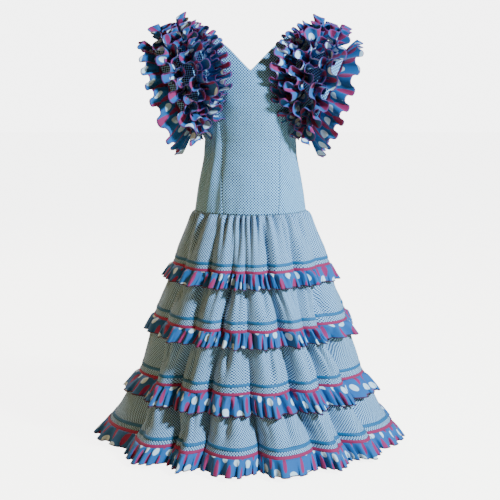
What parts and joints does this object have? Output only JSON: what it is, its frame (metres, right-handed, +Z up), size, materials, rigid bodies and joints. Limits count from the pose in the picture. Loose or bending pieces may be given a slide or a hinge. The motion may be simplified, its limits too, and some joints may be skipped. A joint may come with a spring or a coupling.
{
  "type": "flamenco dress",
  "caption": "Flamenco dress worn with no wearer: long fitted V-neck bodice, gathered tiers with ribbon, binding and ruffles, short sleeves covered in frills.",
  "frame": {"origin": "middle between the tops of the two shoulder seams, where the wearer's shoulders carry the dress", "axes": "+Z up along the dress, front of the dress towards -Y, +X to the wearer's left"},
  "size_m": [1.0822, 1.0414, 1.4356],
  "materials": {
    "bodice_front": "matte dotted cotton",
    "bodice_side_left": "matte dotted cotton",
    "bodice_side_right": "matte dotted cotton",
    "bodice_back_left": "matte dotted cotton",
    "bodice_back_right": "matte dotted cotton",
    "zip_chain": "matte woven tape",
    "zip_slider": "satin",
    "zip_pull": "satin",
    "tier_1": "matte dotted cotton",
    "ribbon_1": "satin ribbon",
    "binding_1": "matte bias binding",
    "ruffle_1": "matte printed cotton",
    "tier_2": "matte dotted cotton",
    "ribbon_2": "satin ribbon",
    "binding_2": "matte bias binding",
    "ruffle_2": "matte printed cotton",
    "tier_3": "matte dotted cotton",
    "ribbon_3": "satin ribbon",
    "binding_3": "matte bias binding",
    "ruffle_3": "matte printed cotton",
    "tier_4": "matte dotted cotton",
    "ribbon_4": "satin ribbon",
    "binding_4": "matte bias binding",
    "ruffle_4": "matte printed cotton",
    "sleeve_left": "matte dotted cotton",
    "frill_1_left": "matte printed cotton",
    "frill_2_left": "matte printed cotton",
    "frill_3_left": "matte printed cotton",
    "frill_4_left": "matte printed cotton",
    "sleeve_right": "matte dotted cotton",
    "frill_1_right": "matte printed cotton",
    "frill_2_right": "matte printed cotton",
    "frill_3_right": "matte printed cotton",
    "frill_4_right": "matte printed cotton"
  },
  "bodies": {
    "dress": {"bodice_front": "bodice_front", "bodice_side_left": "bodice_side_left", "bodice_side_right": "bodice_side_right", "bodice_back_left": "bodice_back_left", "bodice_back_right": "bodice_back_right", "zip_chain": "zip_chain", "zip_slider": "zip_slider", "tier_1": "tier_1", "ribbon_1": "ribbon_1", "binding_1": "binding_1", "ruffle_1": "ruffle_1", "tier_2": "tier_2", "ribbon_2": "ribbon_2", "binding_2": "binding_2", "ruffle_2": "ruffle_2", "tier_3": "tier_3", "ribbon_3": "ribbon_3", "binding_3": "binding_3", "ruffle_3": "ruffle_3", "tier_4": "tier_4", "ribbon_4": "ribbon_4", "binding_4": "binding_4", "ruffle_4": "ruffle_4", "sleeve_left": "sleeve_left", "frill_1_left": "frill_1_left", "frill_2_left": "frill_2_left", "frill_3_left": "frill_3_left", "frill_4_left": "frill_4_left", "sleeve_right": "sleeve_right", "frill_1_right": "frill_1_right", "frill_2_right": "frill_2_right", "frill_3_right": "frill_3_right", "frill_4_right": "frill_4_right"},
    "pull": {"zip_pull": "zip_pull"}
  },
  "joints": [
    {"name": "zip_pull_hinge", "type": "hinge", "parent": "dress", "child": "pull", "pos_m": [0, 0.12535, -0.1992], "axis": [1, 0, 0], "range_deg": [-6, 150]}
  ]
}
